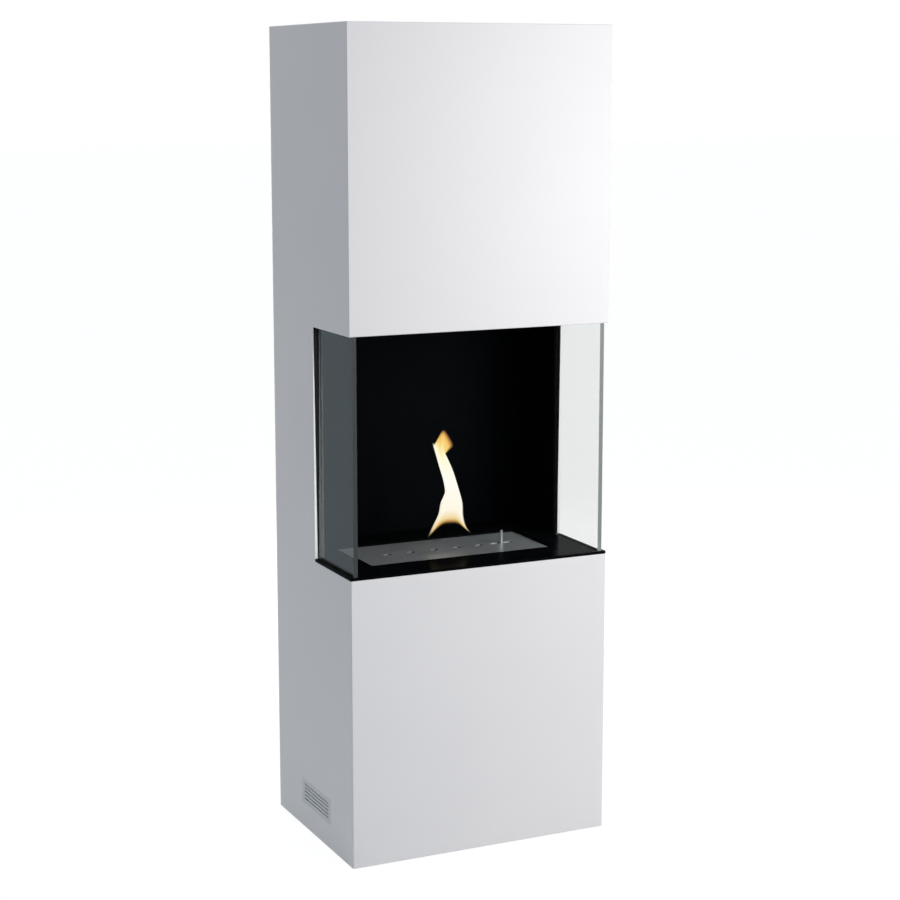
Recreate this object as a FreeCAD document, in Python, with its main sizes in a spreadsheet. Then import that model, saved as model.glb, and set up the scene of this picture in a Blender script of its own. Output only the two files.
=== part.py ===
import FreeCAD, Part
import os
from types import SimpleNamespace

import Sketcher

# Bioethanol fireplace: a white column with a glazed black firebox and a lift-out slot burner.
# Millimetres. X runs to the right along the front, Y to the rear, Z up from the floor.
# The origin is the middle of the footprint.

# Driving sizes
SIZES = {
    # column
    "column_width": 500,
    "column_depth": 360,
    "column_height": 1460,
    "lower_height": 520,
    "window_height": 420,
    "window_depth": 166,
    "board": 18,
    "back_board": 8,
    "edge_break": 1.5,
    "batten": 30,
    "glue_block": 22,
    # floor glides
    "glide_height": 2,
    "glide_radius": 14,
    "glide_stem_radius": 2.5,
    "glide_stem": 12,
    "glide_inset": 45,
    # dowels
    "dowel_radius": 4,
    "dowel_in_side": 10,
    "dowel_in_shelf": 26,
    "dowel_margin": 45,
    "glue_gap": 0.1,
    # screws and wall inserts
    "screw_radius": 1.75,
    "screw_grip": 18,
    "head_radius": 3.5,
    "head_height": 2,
    "screw_margin": 60,
    "insert_radius": 5,
    "insert_bore": 3.2,
    "insert_length": 14,
    "insert_drop": 120,
    # firebox
    "hearth_plate": 5,
    "sheet": 2,
    "duct_depth": 40,
    "ceiling_recess": 1,
    "insulation": 25,
    "plate_play": 0.5,
    # side glass
    "glass": 8,
    "glass_inset": 7,
    "glass_setback": 4,
    "glass_in_groove": 6,
    "groove_depth": 12,
    "groove_play": 0.5,
    "foot_groove": 3,
    "rear_seal": 2,
    "setting_pad": 1,
    "setting_pad_length": 24,
    # air grilles
    "grille_length": 140,
    "grille_height": 46,
    "grille_plate": 2,
    "grille_border": 6,
    "grille_play": 0.3,
    "grille_centre_y": -8,
    "grille_centre_z": 72,
    "outlet_inset": 82,
    "louvre_slot": 3.2,
    "louvre_blade": 1.2,
    "louvre_reach": 6,
    # burner
    "burner_length": 356,
    "burner_width": 156,
    "burner_forward": 2,
    "burner_corner": 5,
    "burner_sheet": 1.5,
    "burner_drop": 3,
    "burner_play": 1.5,
    "flange": 10,
    "tank_depth": 62,
    "well_depth": 80,
    "well_gap": 3,
    "absorber_gap": 2,
    "absorber_height": 50,
    # flame slots, shutter and pin
    "slot_pitch": 46,
    "slot_length": 18,
    "slot_width": 10,
    "control_length": 46,
    "shutter_length": 276,
    "shutter_width": 36,
    "shutter_play": 0.25,
    "rail_lip": 5,
    "pin_radius": 3,
    "pin_height": 24.5,
    "pin_neck": 2,
    "pin_bevel": 1,
}
FLAME_SLOTS = 5
LOUVRES = 5
SCREW_ROWS = 5

doc = FreeCAD.newDocument("bioethanol_fireplace")
sheet = doc.addObject("Spreadsheet::Sheet", "Sizes")
for row, (alias, number) in enumerate(SIZES.items(), start=1):
    sheet.set(f"A{row}", alias)
    sheet.set(f"B{row}", str(number))
    sheet.setAlias(f"B{row}", alias)
doc.recompute()


class Size:
    """A length with its number and the sheet expression that gives it."""

    def __init__(self, number, text):
        self.number = number
        self.text = text

    def combine(self, sign, other, number):
        return Size(number, f"({self.text} {sign} {size(other).text})")

    def __add__(self, other):
        return self.combine("+", other, self.number + size(other).number)

    def __sub__(self, other):
        return self.combine("-", other, self.number - size(other).number)

    def __mul__(self, factor):
        return self.combine("*", factor, self.number * size(factor).number)

    def __truediv__(self, divisor):
        return self.combine("/", divisor, self.number / size(divisor).number)

    def __neg__(self):
        return Size(-self.number, f"(-1 * {self.text})")


def size(value):
    """Plain numbers become sizes, sizes stay as they are."""
    return value if isinstance(value, Size) else Size(float(value), repr(float(value)))


s = SimpleNamespace(**{alias: Size(sheet.get(alias), f"Sizes.{alias}") for alias in SIZES})
nodes = []
cuts = []

# Places that several pieces share
middle = size(0)
side = s.column_width / 2
inside = side - s.board
front = -(s.column_depth / 2)
back = s.column_depth / 2
front_inside = front + s.board
back_inside = back - s.back_board
floor = s.glide_height
hearth_top = s.lower_height + s.hearth_plate
window_top = s.lower_height + s.window_height
window_rear = front + s.window_depth
batten_front = back_inside - s.duct_depth
firebox_back = batten_front - s.sheet
batten_middle = inside - s.batten / 2
ceiling = window_top + s.ceiling_recess
canopy = ceiling + s.sheet + s.insulation
burner_y = (front + firebox_back) / 2 - s.burner_forward
outlet_y = back_inside - s.outlet_inset
well_seat = s.lower_height - s.burner_drop
tank_seat = well_seat + s.burner_sheet
plate_under = tank_seat + s.burner_sheet
plate_top = plate_under + s.burner_sheet
shutter_top = plate_under - s.shutter_play
shutter_under = shutter_top - s.burner_sheet
rail_top = shutter_under - s.shutter_play
tank_length = s.burner_length - s.flange * 2
tank_width = s.burner_width - s.flange * 2
well_length = tank_length + (s.well_gap + s.burner_sheet) * 2
well_width = tank_width + (s.well_gap + s.burner_sheet) * 2
control_x = s.slot_pitch * (FLAME_SLOTS / 2)
glass_outer = side - s.glass_inset
glass_inner = glass_outer - s.glass
glass_front = front + s.glass_setback
glass_rear = window_rear - s.rear_seal
pad_under = hearth_top - s.foot_groove
glass_foot = pad_under + s.setting_pad


def bind(item, **lengths):
    """Tie properties of a feature to the sheet."""
    for prop, length in lengths.items():
        item.setExpression(prop, size(length).text)


def move(item, x=0, y=0, z=0):
    """Tie the place of an object to the sheet."""
    for axis, length in zip("xyz", (x, y, z)):
        item.setExpression(f"Placement.Base.{axis}", size(length).text)


def vector(x, y):
    return FreeCAD.Vector(size(x).number, size(y).number, 0)


def hold(sketch, line, end, x, y):
    """Dimension one sketch point from the sketch origin."""
    for kind, length in (("DistanceX", size(x)), ("DistanceY", size(y))):
        index = sketch.addConstraint(Sketcher.Constraint(kind, -1, 1, line, end, length.number))
        sketch.setExpression(f"Constraints[{index}]", length.text)


def hold_radius(sketch, line, radius):
    index = sketch.addConstraint(Sketcher.Constraint("Radius", line, radius.number))
    sketch.setExpression(f"Constraints[{index}]", radius.text)


def polygon(*corners):
    """Straight-sided closed outline."""

    def draw(sketch):
        first = sketch.GeometryCount
        count = len(corners)
        for i in range(count):
            ends = vector(*corners[i]), vector(*corners[(i + 1) % count])
            sketch.addGeometry(Part.LineSegment(*ends), False)
        for i in range(count):
            following = first + (i + 1) % count
            sketch.addConstraint(Sketcher.Constraint("Coincident", first + i, 2, following, 1))
            hold(sketch, first + i, 1, *corners[i])

    return draw


def rectangle(x0, x1, y0, y1):
    return polygon((x0, y0), (x1, y0), (x1, y1), (x0, y1))


def centred(x, y, length, width):
    return rectangle(x - length / 2, x + length / 2, y - width / 2, y + width / 2)


def circle(x, y, radius):
    """Round hole or disc."""

    def draw(sketch):
        line = sketch.addGeometry(Part.Circle(vector(x, y), FreeCAD.Vector(0, 0, 1), radius.number), False)
        hold(sketch, line, 3, x, y)
        hold_radius(sketch, line, radius)

    return draw


def rounded(x, y, length, width, radius):
    """Rectangle about (x, y) with rounded corners."""

    def draw(sketch):
        a, b = length / 2 - radius, width / 2 - radius
        centres = [(x + a, y + b), (x - a, y + b), (x - a, y - b), (x + a, y - b)]
        first = sketch.GeometryCount
        quarter = 1.5707963267948966
        arcs = []
        for i, centre in enumerate(centres):
            ring = Part.Circle(vector(*centre), FreeCAD.Vector(0, 0, 1), radius.number)
            arcs.append(Part.ArcOfCircle(ring, i * quarter, (i + 1) * quarter))
        for arc in arcs:
            sketch.addGeometry(arc, False)
        for i in range(4):
            ends = arcs[i].EndPoint, arcs[(i + 1) % 4].StartPoint
            sketch.addGeometry(Part.LineSegment(*ends), False)
        for i in range(4):
            arc, line, following = first + i, first + 4 + i, first + (i + 1) % 4
            sketch.addConstraint(Sketcher.Constraint("Tangent", arc, 2, line, 1))
            sketch.addConstraint(Sketcher.Constraint("Tangent", line, 2, following, 1))
            hold(sketch, arc, 3, *centres[i])
            if i == 0:
                hold_radius(sketch, arc, radius)
            else:
                sketch.addConstraint(Sketcher.Constraint("Equal", first, arc))

    return draw


def slot(x, y, length, width):
    """Slot along the sketch's x with round ends."""

    def draw(sketch):
        radius = width / 2
        reach = length / 2 - radius
        half_turn = 3.141592653589793
        first = sketch.GeometryCount
        arcs = []
        for i, centre in enumerate(((x + reach, y), (x - reach, y))):
            ring = Part.Circle(vector(*centre), FreeCAD.Vector(0, 0, 1), radius.number)
            arcs.append(Part.ArcOfCircle(ring, (i - 0.5) * half_turn, (i + 0.5) * half_turn))
            sketch.addGeometry(arcs[i], False)
        for i in range(2):
            sketch.addGeometry(Part.LineSegment(arcs[i].EndPoint, arcs[1 - i].StartPoint), False)
        for i in range(2):
            arc, line, other = first + i, first + 2 + i, first + 1 - i
            sketch.addConstraint(Sketcher.Constraint("Tangent", arc, 2, line, 1))
            sketch.addConstraint(Sketcher.Constraint("Tangent", line, 2, other, 1))
            hold(sketch, arc, 3, x + reach if i == 0 else x - reach, y)
        hold_radius(sketch, first, radius)
        sketch.addConstraint(Sketcher.Constraint("Equal", first, first + 1))

    return draw


def new_body(label):
    body = doc.addObject("PartDesign::Body", label)
    body.Label = label
    nodes.append(body)
    return body


def new_sketch(body, plane, offset, outlines):
    """Sketch on one of the body's own planes, moved along the plane's normal."""
    sketch = body.newObject("Sketcher::SketchObject", f"{body.Name}_sketch")
    role = f"{plane}_Plane"
    sketch.AttachmentSupport = ([o for o in body.Origin.OriginFeatures if o.Role == role][0], [""])
    sketch.MapMode = "FlatFace"
    bind(sketch, **{"AttachmentOffset.Base.z": offset})
    for draw in outlines:
        draw(sketch)
    return sketch


def add(body, plane, start, end, *outlines):
    """Pad outlines from start to end along the plane's axis; inner outlines leave holes."""
    sketch = new_sketch(body, plane, -size(end) if plane == "XZ" else start, outlines)
    pad = body.newObject("PartDesign::Pad", f"{body.Name}_pad")
    pad.Profile = sketch
    bind(pad, Length=size(end) - start)
    sketch.Visibility = False
    return pad


def cut(body, plane, start, end, *outlines):
    """Pocket outlines from start to end along the plane's axis."""
    sketch = new_sketch(body, plane, -size(start) if plane == "XZ" else end, outlines)
    pocket = body.newObject("PartDesign::Pocket", f"{body.Name}_pocket")
    pocket.Profile = sketch
    bind(pocket, Length=size(end) - start)
    sketch.Visibility = False
    cuts.append(pocket)
    return pocket


def prism(label, plane, start, end, *outlines):
    body = new_body(label)
    add(body, plane, start, end, *outlines)
    return body


def repeat(body, feature, axis, pitch, count):
    """Repeat a feature along one of the body's axes."""
    pattern = body.newObject("PartDesign::LinearPattern", f"{body.Name}_pattern")
    pattern.Originals = [feature]
    pattern.Direction = ([o for o in body.Origin.OriginFeatures if o.Role == f"{axis}_Axis"][0], [""])
    if hasattr(pattern, "Mode"):
        pattern.Mode = "Spacing"
    bind(pattern, Offset=pitch)
    pattern.Occurrences = count
    body.Tip = pattern
    return pattern


def soften(body, x=None, y=None, heights=(), depths=()):
    """Round the long edges of one outer face where it meets the given heights and depths."""
    doc.recompute()
    whole = body.Tip
    names = []
    for number, edge in enumerate(whole.Shape.Edges, start=1):
        box = edge.BoundBox
        flat_x = x is None or max(abs(box.XMin - x.number), abs(box.XMax - x.number)) < 1e-4
        flat_y = y is None or max(abs(box.YMin - y.number), abs(box.YMax - y.number)) < 1e-4
        level = any(max(abs(box.ZMin - z.number), abs(box.ZMax - z.number)) < 1e-4 for z in heights)
        upright = any(max(abs(box.YMin - d.number), abs(box.YMax - d.number)) < 1e-4 for d in depths)
        if flat_x and flat_y and (level or upright):
            names.append(f"Edge{number}")
    rounds = body.newObject("PartDesign::Fillet", f"{body.Name}_edges")
    rounds.Base = (whole, names)
    bind(rounds, Radius=s.edge_break)
    return rounds


def mirrored(label, source):
    """Right-hand piece made as the mirror image of the left-hand one."""
    twin = doc.addObject("Part::Mirroring", label)
    twin.Label = label
    twin.Source = source
    twin.Normal = FreeCAD.Vector(1, 0, 0)
    twin.Base = FreeCAD.Vector(0, 0, 0)
    nodes.append(twin)
    return twin


def group(label, pieces):
    """Like pieces that share one node."""
    bundle = doc.addObject("Part::Compound", label)
    bundle.Label = label
    bundle.Links = pieces
    nodes.append(bundle)
    return bundle


ALONG = {
    "x": FreeCAD.Rotation(FreeCAD.Vector(0, 1, 0), 90),
    "-x": FreeCAD.Rotation(FreeCAD.Vector(0, 1, 0), -90),
    "y": FreeCAD.Rotation(FreeCAD.Vector(1, 0, 0), -90),
    "-y": FreeCAD.Rotation(FreeCAD.Vector(1, 0, 0), 90),
    "z": FreeCAD.Rotation(),
}


def cylinder(name, radius, length, along, x, y, z):
    rod = doc.addObject("Part::Cylinder", name)
    bind(rod, Radius=radius, Height=length)
    rod.Placement.Rotation = ALONG[along]
    move(rod, x, y, z)
    return rod


def block(name, length, width, height, x, y, z):
    box = doc.addObject("Part::Box", name)
    bind(box, Length=length, Width=width, Height=height)
    move(box, x, y, z)
    return box


def fuse(name, *pieces):
    whole = doc.addObject("Part::MultiFuse", name)
    whole.Shapes = list(pieces)
    return whole


# Fastener positions
shelf_heights = [
    floor + s.board / 2,
    s.lower_height - s.board / 2,
    canopy + s.board / 2,
    s.column_height - s.board / 2,
]
dowel_rows = [front_inside + s.dowel_margin, batten_front - s.dowel_margin]
row_pitch = (s.column_height - s.screw_margin * 2) / (SCREW_ROWS - 1)
back_rows = [s.screw_margin + row_pitch * row for row in range(SCREW_ROWS)]
firebox_rows = [hearth_top + s.screw_margin, window_top - s.screw_margin]
liner_middle = (window_rear + firebox_back) / 2
insert_height = s.column_height - s.insert_drop
back_grip = s.back_board + s.screw_grip


# Side panels: notched boards with mitred front edges
def groove_outline(left):
    """Plan of the grooves that take the top and the foot of a side glass."""
    outer = -glass_outer - s.groove_play if left else glass_inner - s.groove_play
    inner = -glass_inner + s.groove_play if left else glass_outer + s.groove_play
    return rectangle(outer, inner, glass_front - s.groove_play, window_rear)


def side_panel():
    panel = new_body("left_side_panel")
    notched = polygon(
        (front, floor),
        (back, floor),
        (back, s.column_height),
        (front, s.column_height),
        (front, window_top),
        (window_rear, window_top),
        (window_rear, s.lower_height),
        (front, s.lower_height),
    )
    add(panel, "YZ", -side, -inside, notched)
    levels = floor, s.lower_height, window_top, s.column_height
    soften(panel, x=-side, heights=levels, depths=(window_rear, back))
    mitre = polygon(
        (-side, front + s.edge_break),
        (-side + s.edge_break / 2, front + s.edge_break / 2),
        (-inside, front_inside),
        (-inside, front),
        (-side, front),
    )
    cut(panel, "XY", floor, s.column_height, mitre)
    cut(panel, "XY", window_top, window_top + s.groove_depth, groove_outline(True))
    grille = s.grille_centre_y, s.grille_centre_z
    play = s.grille_play * 2
    rebate = centred(*grille, s.grille_length + play, s.grille_height + play)
    border = s.grille_border * 2
    opening = centred(*grille, s.grille_length - border, s.grille_height - border)
    cut(panel, "YZ", -side, -side + s.grille_plate, rebate)
    cut(panel, "YZ", -side + s.grille_plate, -inside, opening)
    bore = s.dowel_radius + s.glue_gap
    dowel_holes = [circle(y, z, bore) for z in shelf_heights for y in dowel_rows]
    cut(panel, "YZ", -inside - s.dowel_in_side, -inside, *dowel_holes)
    screw_holes = [circle(liner_middle, z, s.screw_radius) for z in firebox_rows]
    cut(panel, "YZ", -inside - s.screw_grip + s.head_height * 2, -inside, *screw_holes)
    return panel


mirrored("right_side_panel", side_panel())


# Front panels: mitred to meet the sides
def front_panel(label, bottom, top):
    half_break = s.edge_break / 2
    plan = polygon(
        (-side + s.edge_break, front),
        (side - s.edge_break, front),
        (side - half_break, front + half_break),
        (inside, front_inside),
        (-inside, front_inside),
        (-side + half_break, front + half_break),
    )
    panel = prism(label, "XY", bottom, top, plan)
    soften(panel, y=front, heights=(bottom, top))
    return panel


front_panel("lower_front_panel", floor, s.lower_height)
upper_front = front_panel("upper_front_panel", window_top, s.column_height)
cut(upper_front, "XY", window_top, window_top + s.groove_depth, groove_outline(True), groove_outline(False))


# Cross boards between the sides
def cross_board(label, bottom, rear):
    """Level board with dowel holes in both ends."""
    board = prism(label, "XY", bottom, bottom + s.board, rectangle(-inside, inside, front_inside, rear))
    bore = s.dowel_radius + s.glue_gap
    holes = [circle(y, bottom + s.board / 2, bore) for y in dowel_rows]
    cut(board, "YZ", -inside, -inside + s.dowel_in_shelf, *holes)
    cut(board, "YZ", inside - s.dowel_in_shelf, inside, *holes)
    return board


glide_places = [
    (x, y)
    for x in (-side + s.glide_inset, side - s.glide_inset)
    for y in (front + s.glide_inset, back - s.glide_inset)
]
base_panel = cross_board("base_panel", floor, back_inside)
stem_bore = s.glide_stem_radius + s.glue_gap
stem_holes = [circle(x, y, stem_bore) for x, y in glide_places]
cut(base_panel, "XY", floor, floor + s.glide_stem + s.glue_gap, *stem_holes)

hearth_shelf = cross_board("hearth_shelf", s.lower_height - s.board, batten_front)
well_opening = rounded(
    middle, burner_y, well_length + s.burner_play, well_width + s.burner_play, s.burner_corner
)
cut(hearth_shelf, "XY", s.lower_height - s.board, s.lower_height, well_opening)
burner_clear = s.burner_play * 2
burner_bay = rounded(
    middle, burner_y, s.burner_length + burner_clear, s.burner_width + burner_clear, s.burner_corner
)
cut(hearth_shelf, "XY", well_seat, s.lower_height, burner_bay)

cross_board("canopy_shelf", canopy, batten_front)

top_panel = cross_board("top_panel", s.column_height - s.board, back_inside)
outlet_play = s.grille_play * 2
outlet_rebate = centred(
    middle, outlet_y, s.grille_length + outlet_play, s.grille_height + outlet_play
)
outlet_border = s.grille_border * 2
outlet_opening = centred(
    middle, outlet_y, s.grille_length - outlet_border, s.grille_height - outlet_border
)
cut(top_panel, "XY", s.column_height - s.grille_plate, s.column_height, outlet_rebate)
cut(top_panel, "XY", s.column_height - s.board, s.column_height - s.grille_plate, outlet_opening)


# Back panel with countersunk screw holes and two wall-tie holes
def back_panel():
    panel = prism("back_panel", "XZ", back_inside, back, rectangle(-inside, inside, floor, s.column_height))
    places = [(x, z) for x in (-batten_middle, batten_middle) for z in back_rows]
    cut(panel, "XZ", back_inside, back, *[circle(x, z, s.screw_radius) for x, z in places])
    cut(panel, "XZ", back - s.head_height, back, *[circle(x, z, s.head_radius) for x, z in places])
    ties = [circle(x, insert_height, s.insert_bore) for x in (-batten_middle, batten_middle)]
    cut(panel, "XZ", back_inside, back, *ties)


back_panel()


# Battens that carry the back panel and the firebox back plate
def rear_batten():
    plan = rectangle(-inside, -inside + s.batten, batten_front, back_inside)
    batten = prism("left_rear_batten", "XY", floor + s.board, s.column_height - s.board, plan)
    rear_holes = [circle(-batten_middle, z, s.screw_radius) for z in back_rows]
    cut(batten, "XZ", back - back_grip, back_inside, *rear_holes)
    front_holes = [circle(-batten_middle, z, s.screw_radius) for z in firebox_rows]
    cut(batten, "XZ", batten_front, batten_front + s.screw_grip, *front_holes)
    sleeve_hole = circle(-batten_middle, insert_height, s.insert_radius)
    cut(batten, "XZ", back_inside - s.insert_length, back_inside, sleeve_hole)
    return batten


mirrored("right_rear_batten", rear_batten())


# Glue blocks behind the four mitres
def glue_blocks():
    pieces = []
    lower = floor + s.board, s.lower_height - s.board
    upper = canopy + s.board, s.column_height - s.board
    for name, (bottom, top) in (("lower", lower), ("upper", upper)):
        for hand, x in (("left", -inside), ("right", inside - s.glue_block)):
            piece = block(
                f"{name}_{hand}_glue_block", s.glue_block, s.glue_block, top - bottom, x, front_inside, bottom
            )
            pieces.append(piece)
    group("front_corner_battens", pieces)


glue_blocks()


# Dowels between the cross boards and the sides
def dowels():
    pieces = []
    length = s.dowel_in_side + s.dowel_in_shelf
    for level, z in enumerate(shelf_heights):
        for row, y in enumerate(dowel_rows):
            for hand, x in (("left", -inside - s.dowel_in_side), ("right", inside - s.dowel_in_shelf)):
                pieces.append(cylinder(f"dowel_{hand}_{level}_{row}", s.dowel_radius, length, "x", x, y, z))
    group("dowels", pieces)


dowels()


# Screws: a cylinder head on a plain shank
def screw(name, along, grip, x, y, z):
    """Screw whose head's underside lies at the given place, with the shank running along the axis."""
    shank = cylinder(f"{name}_shank", s.screw_radius, grip, along, x, y, z)
    away = {"x": "-x", "-x": "x", "-y": "y", "y": "-y"}[along]
    head = cylinder(f"{name}_head", s.head_radius, s.head_height, away, x, y, z)
    return fuse(name, shank, head)


def back_screws():
    pieces = []
    grip = back_grip - s.head_height
    for hand, x in (("left", -batten_middle), ("right", batten_middle)):
        for row, z in enumerate(back_rows):
            pieces.append(screw(f"back_screw_{hand}_{row}", "-y", grip, x, back - s.head_height, z))
    group("back_panel_screws", pieces)


def firebox_screws():
    pieces = []
    plate_grip = s.sheet + s.screw_grip
    liner_grip = s.sheet + s.screw_grip - s.head_height * 2
    for row, z in enumerate(firebox_rows):
        for hand, turn in (("left", -1), ("right", 1)):
            name = f"plate_screw_{hand}_{row}"
            pieces.append(screw(name, "y", plate_grip, batten_middle * turn, firebox_back, z))
            face = (inside - s.sheet) * turn
            along = "x" if turn > 0 else "-x"
            pieces.append(screw(f"liner_screw_{hand}_{row}", along, liner_grip, face, liner_middle, z))
    group("firebox_screws", pieces)


back_screws()
firebox_screws()


# Sleeves in the battens for tying the column to a wall
def wall_inserts():
    pieces = []
    for hand, x in (("left", -batten_middle), ("right", batten_middle)):
        place = x, back_inside - s.insert_length, insert_height
        sleeve = cylinder(f"{hand}_sleeve", s.insert_radius, s.insert_length, "y", *place)
        bore = cylinder(f"{hand}_sleeve_bore", s.insert_bore, s.insert_length, "y", *place)
        insert = doc.addObject("Part::Cut", f"{hand}_wall_insert")
        insert.Base = sleeve
        insert.Tool = bore
        pieces.append(insert)
    group("wall_inserts", pieces)


wall_inserts()


# Floor glides: a disc on a stem
def floor_glides():
    pieces = []
    for number, (x, y) in enumerate(glide_places):
        disc = cylinder(f"glide_disc_{number}", s.glide_radius, s.glide_height, "z", x, y, 0)
        length = s.glide_height + s.glide_stem
        stem = cylinder(f"glide_stem_{number}", s.glide_stem_radius, length, "z", x, y, 0)
        pieces.append(fuse(f"glide_{number}", disc, stem))
    group("floor_glides", pieces)


floor_glides()


# Hearth plate: reaches the outside of the casing inside the window
def hearth_plate():
    wide = side - s.plate_play / 2
    narrow = inside - s.plate_play / 2
    near = front + s.plate_play / 2
    step = window_rear - s.plate_play / 2
    plan = polygon(
        (-wide, near),
        (wide, near),
        (wide, step),
        (narrow, step),
        (narrow, batten_front),
        (-narrow, batten_front),
        (-narrow, step),
        (-wide, step),
    )
    plate = prism("hearth_plate", "XY", s.lower_height, hearth_top, plan, burner_bay)
    cut(plate, "XY", pad_under, hearth_top, groove_outline(True), groove_outline(False))


hearth_plate()


# Firebox linings in black sheet steel
def firebox_linings():
    plate = prism(
        "firebox_back_plate",
        "XZ",
        firebox_back,
        batten_front,
        rectangle(-inside, inside, hearth_top, ceiling),
    )
    screw_columns = -batten_middle, batten_middle
    plate_holes = [circle(x, z, s.screw_radius) for x in screw_columns for z in firebox_rows]
    cut(plate, "XZ", firebox_back, batten_front, *plate_holes)
    liner = prism(
        "left_liner_plate",
        "YZ",
        -inside,
        -inside + s.sheet,
        rectangle(window_rear, firebox_back, hearth_top, ceiling),
    )
    liner_holes = [circle(liner_middle, z, s.screw_radius) for z in firebox_rows]
    cut(liner, "YZ", -inside, -inside + s.sheet, *liner_holes)
    mirrored("right_liner_plate", liner)
    cover = rectangle(-inside, inside, front_inside, batten_front)
    prism("firebox_ceiling_plate", "XY", ceiling, ceiling + s.sheet, cover)
    prism("ceiling_insulation", "XY", ceiling + s.sheet, canopy, cover)


firebox_linings()


# Side glass, let into grooves at the foot and the top, with a seal on the board behind it
def side_glass():
    pane = prism(
        "left_glass",
        "XY",
        glass_foot,
        window_top + s.glass_in_groove,
        rectangle(-glass_outer, -glass_inner, glass_front, glass_rear),
    )
    mirrored("right_glass", pane)
    height = window_top - hearth_top
    width = glass_outer - inside
    pieces = []
    for hand, x in (("left", -glass_outer), ("right", inside)):
        strip = block(f"{hand}_seal", width, s.rear_seal, height, x, glass_rear, hearth_top)
        pieces.append(strip)
    group("glass_rear_seals", pieces)


def setting_pads():
    pieces = []
    run = s.window_depth - s.glass_setback
    for hand, x in (("left", -glass_outer), ("right", glass_inner)):
        for end, share in (("front", 0.2), ("rear", 0.8)):
            y = glass_front + run * share - s.setting_pad_length / 2
            pad = block(
                f"{hand}_{end}_pad", s.glass, s.setting_pad_length, s.setting_pad, x, y, pad_under
            )
            pieces.append(pad)
    group("glass_setting_pads", pieces)


side_glass()
setting_pads()


# Air grille in its own frame: outer face at z 0, louvres running along x
def air_grille(label):
    grille = new_body(label)
    add(grille, "XY", -s.grille_plate, 0, centred(middle, middle, s.grille_length, s.grille_height))
    pitch = (s.grille_height - s.grille_border * 2) / LOUVRES
    first = -(pitch * ((LOUVRES - 1) / 2))
    run = s.grille_length - s.grille_border * 4
    low = first - s.louvre_slot / 2
    blade = polygon(
        (low - s.louvre_blade, -s.grille_plate),
        (low, -s.grille_plate),
        (low + s.louvre_reach - s.grille_plate, -s.louvre_reach),
        (low + s.louvre_reach - s.grille_plate - s.louvre_blade, -s.louvre_reach),
    )
    shade = add(grille, "YZ", -(run / 2), run / 2, blade)
    repeat(grille, shade, "Y", pitch, LOUVRES)
    gap = cut(grille, "XY", -s.grille_plate, 0, centred(middle, first, run, s.louvre_slot))
    repeat(grille, gap, "Y", pitch, LOUVRES)
    return grille


UP = FreeCAD.Vector(0, 0, 1)
LEFT_FACE = FreeCAD.Rotation(FreeCAD.Vector(0, -1, 0), UP, FreeCAD.Vector(-1, 0, 0), "ZXY")
RIGHT_FACE = FreeCAD.Rotation(FreeCAD.Vector(0, 1, 0), UP, FreeCAD.Vector(1, 0, 0), "ZXY")
left_grille = air_grille("left_air_grille")
left_grille.Placement.Rotation = LEFT_FACE
move(left_grille, -side, s.grille_centre_y, s.grille_centre_z)
right_grille = air_grille("right_air_grille")
right_grille.Placement.Rotation = RIGHT_FACE
move(right_grille, side, s.grille_centre_y, s.grille_centre_z)
move(air_grille("top_air_grille"), 0, outlet_y, s.column_height)


# Burner boxes: an outer spill well and the fuel tank hanging inside it
def flanged_box(label, length, width, depth, seat):
    """Open sheet-steel box with a flange whose underside lies on the seat."""
    box = new_body(label)
    inner_corner = s.burner_corner - s.burner_sheet
    wall = s.burner_sheet * 2
    flange = rounded(middle, burner_y, s.burner_length, s.burner_width, s.burner_corner)
    add(box, "XY", seat, seat + s.burner_sheet, flange)
    add(box, "XY", seat - depth, seat, rounded(middle, burner_y, length, width, s.burner_corner))
    hollow = rounded(middle, burner_y, length - wall, width - wall, inner_corner)
    cut(box, "XY", seat - depth + s.burner_sheet, seat + s.burner_sheet, hollow)


flanged_box("burner_well", well_length, well_width, s.well_depth, well_seat)
flanged_box("burner_tank", tank_length, tank_width, s.tank_depth, tank_seat)


# Burner top plate: five flame slots in a row and one longer slot for the pin
def burner_top_plate():
    plate = prism(
        "burner_top_plate",
        "XY",
        plate_under,
        plate_top,
        rounded(middle, burner_y, s.burner_length, s.burner_width, s.burner_corner),
    )
    first_slot = slot(-control_x, burner_y, s.slot_length, s.slot_width)
    flame_slot = cut(plate, "XY", plate_under, plate_top, first_slot)
    repeat(plate, flame_slot, "X", s.slot_pitch, FLAME_SLOTS)
    control_slot = slot(control_x, burner_y, s.control_length, s.slot_width)
    cut(plate, "XY", plate_under, plate_top, control_slot)


burner_top_plate()


# Rails under the top plate: an angle at each edge of the shutter
def shutter_rails():
    half = s.shutter_width / 2 + s.shutter_play
    pieces = []
    for hand, turn in (("front", -1), ("rear", 1)):
        web = burner_y + half * turn
        web_far = web + s.burner_sheet * turn
        lip = web - s.rail_lip * turn
        rail = doc.addObject("PartDesign::Body", f"{hand}_rail")
        section = polygon(
            (web, plate_under),
            (web, rail_top),
            (lip, rail_top),
            (lip, rail_top - s.burner_sheet),
            (web_far, rail_top - s.burner_sheet),
            (web_far, plate_under),
        )
        add(rail, "YZ", -(s.shutter_length / 2), s.shutter_length / 2, section)
        pieces.append(rail)
    group("shutter_rails", pieces)


shutter_rails()

# Ceramic fibre block in the tank
absorber_floor = tank_seat - s.tank_depth + s.burner_sheet
prism(
    "absorber_block",
    "XY",
    absorber_floor,
    absorber_floor + s.absorber_height,
    rounded(
        middle,
        burner_y,
        tank_length - (s.burner_sheet + s.absorber_gap) * 2,
        tank_width - (s.burner_sheet + s.absorber_gap) * 2,
        s.burner_corner,
    ),
)


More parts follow.
